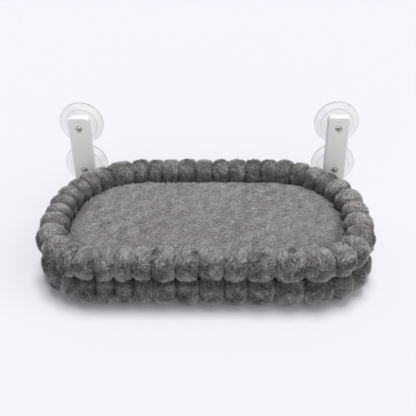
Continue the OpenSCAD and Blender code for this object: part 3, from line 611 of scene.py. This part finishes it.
# Cloth panels
# Two panels of dark woven polyester close the hoop. The sling lies on the hoop and the
# crossbar and carries the pad. The base panel closes the bed from below. Both are sewn
# into the seam between the tiers and pulled flat.
PANEL_INSET, PANEL_WALL, SLING_SAG = 0.022, 0.0012, 0.0006
panels = []
for name, node, sag in (("sling_cloth", "sling_panel", SLING_SAG),
                        ("base_cloth", "base_panel", 0.0)):
    panel_low, panel_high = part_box(node)
    bm = bmesh.new()
    bmesh.ops.create_grid(bm, x_segments=180, y_segments=20, size=0.5)
    grid = np.array([v.co[:2] for v in bm.verts]) + 0.5
    x, y, *_ = ring_place(grid[:, 0], PANEL_INSET)
    z = (panel_low.z + panel_high.z) / 2 - sag * (1 - grid[:, 1] ** 2)
    for vertex, place in zip(bm.verts, np.stack(
            [x * grid[:, 1], bed_y + (y - bed_y) * grid[:, 1], z], 1)):
        vertex.co = place
    bmesh.ops.remove_doubles(bm, verts=bm.verts, dist=1e-6)
    bmesh.ops.recalc_face_normals(bm, faces=bm.faces)
    bmesh.ops.solidify(bm, geom=bm.faces[:], thickness=PANEL_WALL)
    panel = new_piece(name, bm)
    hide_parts(node)
    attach(panel, "bed")
    panels.append(panel)

# Woven polyester lining: dark yarn in plain weave. The real threads lie 0.4 mm apart,
# too fine to show, so the weave is drawn with bands 5 mm apart.
lining, tree, shader = new_material("woven_polyester_lining")
where = add_node(tree, "ShaderNodeTexCoord")
warp = add_node(tree, "ShaderNodeTexWave", {"Vector": where.outputs["Object"], "Scale": 62.5,
                                            "Distortion": 0.6, "Detail": 1.0}, bands_direction="X")
weft = add_node(tree, "ShaderNodeTexWave", {"Vector": where.outputs["Object"], "Scale": 62.5,
                                            "Distortion": 0.6, "Detail": 1.0}, bands_direction="Y")
weave = add_node(tree, "ShaderNodeMath", {0: warp.outputs["Fac"], 1: weft.outputs["Fac"]},
                 operation="MULTIPLY")
tone = add_node(tree, "ShaderNodeMix", {"Factor": weave.outputs["Value"], "A": linear("4B4B4D"),
                                        "B": linear("67676A")}, data_type="RGBA")
tree.links.new(tone.outputs["Result"], shader.inputs["Base Color"])
dents = add_node(tree, "ShaderNodeBump", {"Height": weave.outputs["Value"], "Strength": 0.4,
                                          "Distance": 0.0004})
tree.links.new(dents.outputs["Normal"], shader.inputs["Normal"])
shader.inputs["Roughness"].default_value = 0.85
for panel in panels:
    panel.data.materials.append(lining)

# Hook-and-loop straps
# Six bands of black nylon webbing, 25 mm wide, wrapped once round the hoop with the end
# pressed down over the start. They are sewn to the base of the upper tier.
STRAP_WIDTH, STRAP_WALL, STRAP_LAYER = 0.025, 0.0006, 0.0007
STRAP_START, STRAP_LAP = 2.2, 1.0
FRONT_STRAP_X, SIDE_STRAP_Y = 0.130, -0.030
strap_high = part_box("webbing_straps")[1]
hoop_low, hoop_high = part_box("hoop_tube")
tube_radius = (hoop_high.z - hoop_low.z) / 2
tube_z = (hoop_high.z + hoop_low.z) / 2
leg_x, front_y = hoop_high.x - tube_radius, hoop_low.y + tube_radius
strap_r = strap_high.x - leg_x
back_strap_y = strap_high.y - STRAP_WIDTH / 2
straps = []
for name, x, y, along_x in (("front_strap_left", -FRONT_STRAP_X, front_y, True),
                            ("front_strap_right", FRONT_STRAP_X, front_y, True),
                            ("side_strap_left", -leg_x, SIDE_STRAP_Y, False),
                            ("side_strap_right", leg_x, SIDE_STRAP_Y, False),
                            ("rear_strap_left", -leg_x, back_strap_y, False),
                            ("rear_strap_right", leg_x, back_strap_y, False)):
    bm = bmesh.new()
    bmesh.ops.create_grid(bm, x_segments=56, y_segments=4, size=0.5)
    for vertex in bm.verts:
        turned = (vertex.co.x + 0.5) * (2 * math.pi + STRAP_LAP)
        lap = min(max((turned - STRAP_LAP) / (2 * math.pi - STRAP_LAP), 0), 1)
        radius = strap_r - 0.0008 + lap * STRAP_LAYER
        across, width = radius * math.cos(turned + STRAP_START), vertex.co.y * STRAP_WIDTH
        z = tube_z + radius * math.sin(turned + STRAP_START)
        vertex.co = (x + width, y + across, z) if along_x else (x + across, y + width, z)
    bmesh.ops.recalc_face_normals(bm, faces=bm.faces)
    bmesh.ops.solidify(bm, geom=bm.faces[:], thickness=STRAP_WALL)
    strap = new_piece(name, bm)
    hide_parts("webbing_straps")
    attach(strap, "bed")
    straps.append(strap)

# Woven nylon webbing: black yarn in ribs. The real ribs lie about 1.2 mm apart, too fine
# to show, so they are drawn 4.4 mm apart and aslant across the band.
webbing, tree, shader = new_material("woven_nylon_webbing")
where = add_node(tree, "ShaderNodeTexCoord")
ribs = add_node(tree, "ShaderNodeTexWave", {"Vector": where.outputs["Object"], "Scale": 83.0,
                                            "Distortion": 0.8, "Detail": 2.0},
                bands_direction="DIAGONAL")
tone = add_node(tree, "ShaderNodeMix", {"Factor": ribs.outputs["Fac"], "A": linear("262628"),
                                        "B": linear("424246")}, data_type="RGBA")
tree.links.new(tone.outputs["Result"], shader.inputs["Base Color"])
dents = add_node(tree, "ShaderNodeBump", {"Height": ribs.outputs["Fac"], "Strength": 0.5,
                                          "Distance": 0.0004})
tree.links.new(dents.outputs["Normal"], shader.inputs["Normal"])
shader.inputs["Roughness"].default_value = 0.7
for strap in straps:
    strap.data.materials.append(webbing)


# Hoop and crossbar
# Bent steel tube, 12 mm, powder coated in pale grey after bending. The coat is a satin
# polymer with a fine orange-peel surface, and it hides the bends' stretch marks.


def dress(material, *names):
    """The named CAD nodes in their finish."""
    for name in names:
        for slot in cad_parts[name].material_slots:
            slot.material = material


powder_coat, tree, shader = new_material("powder_coated_steel")
where = add_node(tree, "ShaderNodeTexCoord")
peel = add_node(tree, "ShaderNodeTexNoise", {"Vector": where.outputs["Object"], "Scale": 700.0,
                                             "Detail": 2.0})
patches = add_node(tree, "ShaderNodeTexNoise", {"Vector": where.outputs["Object"], "Scale": 25.0})
tone = add_node(tree, "ShaderNodeMix", {"Factor": patches.outputs["Fac"], "A": linear("A9ABAE"),
                                        "B": linear("B7B9BC")}, data_type="RGBA")
tree.links.new(tone.outputs["Result"], shader.inputs["Base Color"])
dents = add_node(tree, "ShaderNodeBump", {"Height": peel.outputs["Fac"], "Strength": 0.2,
                                          "Distance": 0.0002})
tree.links.new(dents.outputs["Normal"], shader.inputs["Normal"])
shader.inputs["Roughness"].default_value = 0.42
dress(powder_coat, "hoop_tube", "rear_crossbar")

# Tee fittings and hinge knuckles
# Moulded in grey glass-filled nylon and screwed to the tubes. The skin is matt with a
# faint speckle of fibre, and it is a little shinier where the mould was polished.
nylon, tree, shader = new_material("moulded_glass_filled_nylon")
where = add_node(tree, "ShaderNodeTexCoord")
speckle = add_node(tree, "ShaderNodeTexNoise", {"Vector": where.outputs["Object"], "Scale": 900.0,
                                                "Detail": 3.0})
tone = add_node(tree, "ShaderNodeMix", {"Factor": speckle.outputs["Fac"], "A": linear("6A6A6D"),
                                        "B": linear("7C7C80")}, data_type="RGBA")
tree.links.new(tone.outputs["Result"], shader.inputs["Base Color"])
gloss = add_node(tree, "ShaderNodeMapRange", {"Value": speckle.outputs["Fac"], "To Min": 0.48,
                                              "To Max": 0.66})
tree.links.new(gloss.outputs["Result"], shader.inputs["Roughness"])
dress(nylon, "crossbar_fittings", "left_knuckle", "right_knuckle")

# Screws, washers, pegs and pins
# Steel turned and plated with bright zinc, which has a cool silver colour with cloudy
# patches a few millimetres wide. The crosses of the arm screws are painted dark, as shade in
# their recesses.
CROSS_REACH, CROSS_EDGE = 0.0031, 0.0034
cup_low, cup_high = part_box("right_upper_cup")
below_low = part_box("right_lower_cup")[0]
cup_x, cup_rim = (cup_low.x + cup_high.x) / 2, (cup_high.x - cup_low.x) / 2
cups_z = (cup_high.z + below_low.z) / 2


def pair(*names):
    """The names of the nodes that both arms have."""
    return [f"{side}_{name}" for side in ("left", "right") for name in names]


def axis_distance(tree, where):
    """How far a point is from the nearest axis on which a cup and its screw stand."""
    place = add_node(tree, "ShaderNodeVectorMath", {0: where.outputs["Object"]},
                     operation="ABSOLUTE")
    for offset in ((cup_x, 0.0, cups_z), (0.0, 0.0, cup_high.z - cup_rim - cups_z)):
        place = add_node(tree, "ShaderNodeVectorMath", {0: place.outputs["Vector"], 1: offset},
                         operation="SUBTRACT")
        place = add_node(tree, "ShaderNodeVectorMath", {0: place.outputs["Vector"]},
                         operation="ABSOLUTE")
    place = add_node(tree, "ShaderNodeVectorMath", {0: place.outputs["Vector"],
                                                    1: (1.0, 0.0, 1.0)}, operation="MULTIPLY")
    return add_node(tree, "ShaderNodeVectorMath", {0: place.outputs["Vector"]},
                    operation="LENGTH").outputs["Value"]


zinc, tree, shader = new_material("bright_zinc_plate")
where = add_node(tree, "ShaderNodeTexCoord")
cloud = add_node(tree, "ShaderNodeTexNoise", {"Vector": where.outputs["Object"], "Scale": 300.0,
                                              "Detail": 2.0})
tone = add_node(tree, "ShaderNodeMix", {"Factor": cloud.outputs["Fac"], "A": linear("B4B4B3"),
                                        "B": linear("DCDCDB")}, data_type="RGBA")
head_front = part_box("right_arm_screws")[0].y
# Painted shade: the cross, sunk behind the face of a screw's head, is coloured dark
across_head = add_node(tree, "ShaderNodeMapRange", {"Value": axis_distance(tree, where),
                                                    "From Min": CROSS_REACH, "From Max": CROSS_EDGE,
                                                    "To Min": 1.0, "To Max": 0.0})
split = add_node(tree, "ShaderNodeSeparateXYZ", {"Vector": where.outputs["Object"]})
sunk = add_node(tree, "ShaderNodeMapRange", {"Value": split.outputs["Y"],
                                             "From Min": head_front + 0.0002,
                                             "From Max": head_front + 0.0007})
cross_painted_shade = add_node(tree, "ShaderNodeMath", {0: across_head.outputs["Result"],
                                             1: sunk.outputs["Result"]}, operation="MULTIPLY")
tone = add_node(tree, "ShaderNodeMix", {"Factor": cross_painted_shade.outputs["Value"],
                                        "A": tone.outputs["Result"], "B": linear("3A3836")},
                data_type="RGBA")
tree.links.new(tone.outputs["Result"], shader.inputs["Base Color"])
gloss = add_node(tree, "ShaderNodeMapRange", {"Value": cloud.outputs["Fac"], "To Min": 0.28,
                                              "To Max": 0.42})
tree.links.new(gloss.outputs["Result"], shader.inputs["Roughness"])
shader.inputs["Metallic"].default_value = 1.0
dress(zinc, "frame_screws", *pair("arm_screws", "washers", "locating_pegs", "bracket_screws",
                                  "hinge_pin"))

# Hinge brackets and pin clips
# Pressed from sheet steel and barrel finished, so the faces are satin with fine random
# scratches. The brackets are screwed inside the arms, with two ears out at the front.
pressed_steel, tree, shader = new_material("barrel_finished_steel")
where = add_node(tree, "ShaderNodeTexCoord")
stretched = add_node(tree, "ShaderNodeMapping", {"Vector": where.outputs["Object"],
                                                 "Scale": (1.0, 1.0, 0.12)})
scratches = add_node(tree, "ShaderNodeTexNoise", {"Vector": stretched.outputs["Vector"],
                                                  "Scale": 1500.0, "Detail": 3.0})
tone = add_node(tree, "ShaderNodeMix", {"Factor": scratches.outputs["Fac"], "A": linear("8F9193"),
                                        "B": linear("AEB0B2")}, data_type="RGBA")
tree.links.new(tone.outputs["Result"], shader.inputs["Base Color"])
shader.inputs["Metallic"].default_value = 1.0
shader.inputs["Roughness"].default_value = 0.38
dress(pressed_steel, *pair("hinge_bracket", "pin_clip"))

# Arms
# Each arm is a shell of injection moulded ABS, closed by a back plate. It is slightly
# warm white with a satin skin, and a faint ripple from the mould shows in the gloss.
abs_white, tree, shader = new_material("satin_white_abs")
where = add_node(tree, "ShaderNodeTexCoord")
ripple = add_node(tree, "ShaderNodeTexNoise", {"Vector": where.outputs["Object"], "Scale": 45.0,
                                               "Detail": 2.0})
tone = add_node(tree, "ShaderNodeMix", {"Factor": ripple.outputs["Fac"], "A": linear("F6F5F1"),
                                        "B": linear("FAF9F6")}, data_type="RGBA")
tree.links.new(tone.outputs["Result"], shader.inputs["Base Color"])
dents = add_node(tree, "ShaderNodeBump", {"Height": ripple.outputs["Fac"], "Strength": 0.05,
                                          "Distance": 0.001})
tree.links.new(dents.outputs["Normal"], shader.inputs["Normal"])
shader.inputs["Roughness"].default_value = 0.38
shader.inputs["IOR"].default_value = 1.53
dress(abs_white, *pair("arm_casing", "back_plate"))

# Suction cups
# Moulded in clear soft PVC with a thin flared rim. It is glassy, slightly hazed by its
# plasticiser. The rolled rim and the moulded beads bend the light into thin violet-grey
# lines, and these lines are painted into the colour here at their real radii.
CUP_RING, CUP_DOME, RIM_LINE = 0.030, 0.024, 0.0014
clear_pvc, tree, shader = new_material("clear_soft_pvc")
where = add_node(tree, "ShaderNodeTexCoord")
haze = add_node(tree, "ShaderNodeTexNoise", {"Vector": where.outputs["Object"], "Scale": 60.0,
                                             "Detail": 2.0})
gloss = add_node(tree, "ShaderNodeMapRange", {"Value": haze.outputs["Fac"], "To Min": 0.06,
                                              "To Max": 0.16})
tree.links.new(gloss.outputs["Result"], shader.inputs["Roughness"])
radius = axis_distance(tree, where)
# Painted light and shade: the lines that the rim and the beads make by bending the light
painted_rim_lines = add_node(tree, "ShaderNodeMapRange", {"Value": radius, "From Min": cup_rim - RIM_LINE,
                                             "From Max": cup_rim, "To Max": 0.7})
for ring, strength in ((CUP_RING, 0.4), (CUP_DOME, 0.1)):
    away = add_node(tree, "ShaderNodeMath", {0: radius, 1: ring}, operation="SUBTRACT")
    away = add_node(tree, "ShaderNodeMath", {0: away.outputs["Value"]}, operation="ABSOLUTE")
    near = add_node(tree, "ShaderNodeMapRange", {"Value": away.outputs["Value"], "From Min": 0.0003,
                                                 "From Max": 0.0010, "To Min": strength,
                                                 "To Max": 0.0})
    painted_rim_lines = add_node(tree, "ShaderNodeMath", {0: painted_rim_lines.outputs[0], 1: near.outputs["Result"]},
                    operation="MAXIMUM")
tone = add_node(tree, "ShaderNodeMix", {"Factor": painted_rim_lines.outputs["Value"], "A": linear("F1F1EE"),
                                        "B": linear("8E8A9A")}, data_type="RGBA")
tree.links.new(tone.outputs["Result"], shader.inputs["Base Color"])
shader.inputs["IOR"].default_value = 1.53
shader.inputs["Transmission Weight"].default_value = 1.0
dress(clear_pvc, *pair("upper_cup", "lower_cup"))

# Threaded inserts
# Turned from brass bar and moulded in the cups. The tool leaves rings, drawn 0.8 mm apart.
brass, tree, shader = new_material("turned_brass")
where = add_node(tree, "ShaderNodeTexCoord")
rings = add_node(tree, "ShaderNodeTexWave", {"Vector": where.outputs["Object"], "Scale": 400.0,
                                             "Distortion": 0.5}, bands_direction="Y")
tone = add_node(tree, "ShaderNodeMix", {"Factor": rings.outputs["Fac"], "A": linear("C6A15A"),
                                        "B": linear("DAB974")}, data_type="RGBA")
tree.links.new(tone.outputs["Result"], shader.inputs["Base Color"])
shader.inputs["Metallic"].default_value = 1.0
shader.inputs["Roughness"].default_value = 0.3
dress(brass, *pair("cup_inserts"))

# Floor, backdrop and lamps
# A plain pale sweep. The key lamp hangs over the back of the bed, and two weaker ones fill
# in from the front and the right. The floor is the pale background and keeps the shadow.
bm = bmesh.new()
bmesh.ops.create_grid(bm, x_segments=1, y_segments=1, size=12.0)
floor = new_piece("floor", bm)
floor_paint, tree, shader = new_material("matt_white_sweep")
shader.inputs["Base Color"].default_value = linear("F2F2F7")
shader.inputs["Roughness"].default_value = 1.0
shader.inputs["Specular IOR Level"].default_value = 0.0
floor.data.materials.append(floor_paint)
floor.location.z = cad_low.z - 0.0002

for name, energy, spread, way in (("key_lamp", 1.95, 24, (-0.06, -0.14, -1.0)),
                                  ("fill_lamp", 0.65, 60, (-0.05, 1.0, -0.35)),
                                  ("side_lamp", 0.6, 60, (-1.0, 0.35, -0.7))):
    lamp = bpy.data.objects.new(name, bpy.data.lights.new(name, "SUN"))
    lamp.data.energy, lamp.data.angle = energy, math.radians(spread)
    lamp.rotation_euler = Vector(way).to_track_quat("-Z", "Y").to_euler()
    scene.collection.objects.link(lamp)
# The backdrop is shown at full strength, and it lights the perch at about a quarter of it
world = bpy.data.worlds.new("studio")
scene.world = world
world.use_nodes = True
sky = world.node_tree.nodes["Background"]
ray = add_node(world.node_tree, "ShaderNodeLightPath")
shown = add_node(world.node_tree, "ShaderNodeMath", {0: ray.outputs["Is Camera Ray"],
                                                     1: ray.outputs["Is Glossy Ray"]},
                 operation="MAXIMUM")
shown = add_node(world.node_tree, "ShaderNodeMath", {0: shown.outputs["Value"],
                                                     1: ray.outputs["Is Transmission Ray"]},
                 operation="MAXIMUM")
level = add_node(world.node_tree, "ShaderNodeMapRange", {"Value": shown.outputs["Value"],
                                                         "To Min": 0.27, "To Max": 1.0})
sky.inputs["Color"].default_value = linear("F5F5FA")
world.node_tree.links.new(level.outputs["Result"], sky.inputs["Strength"])
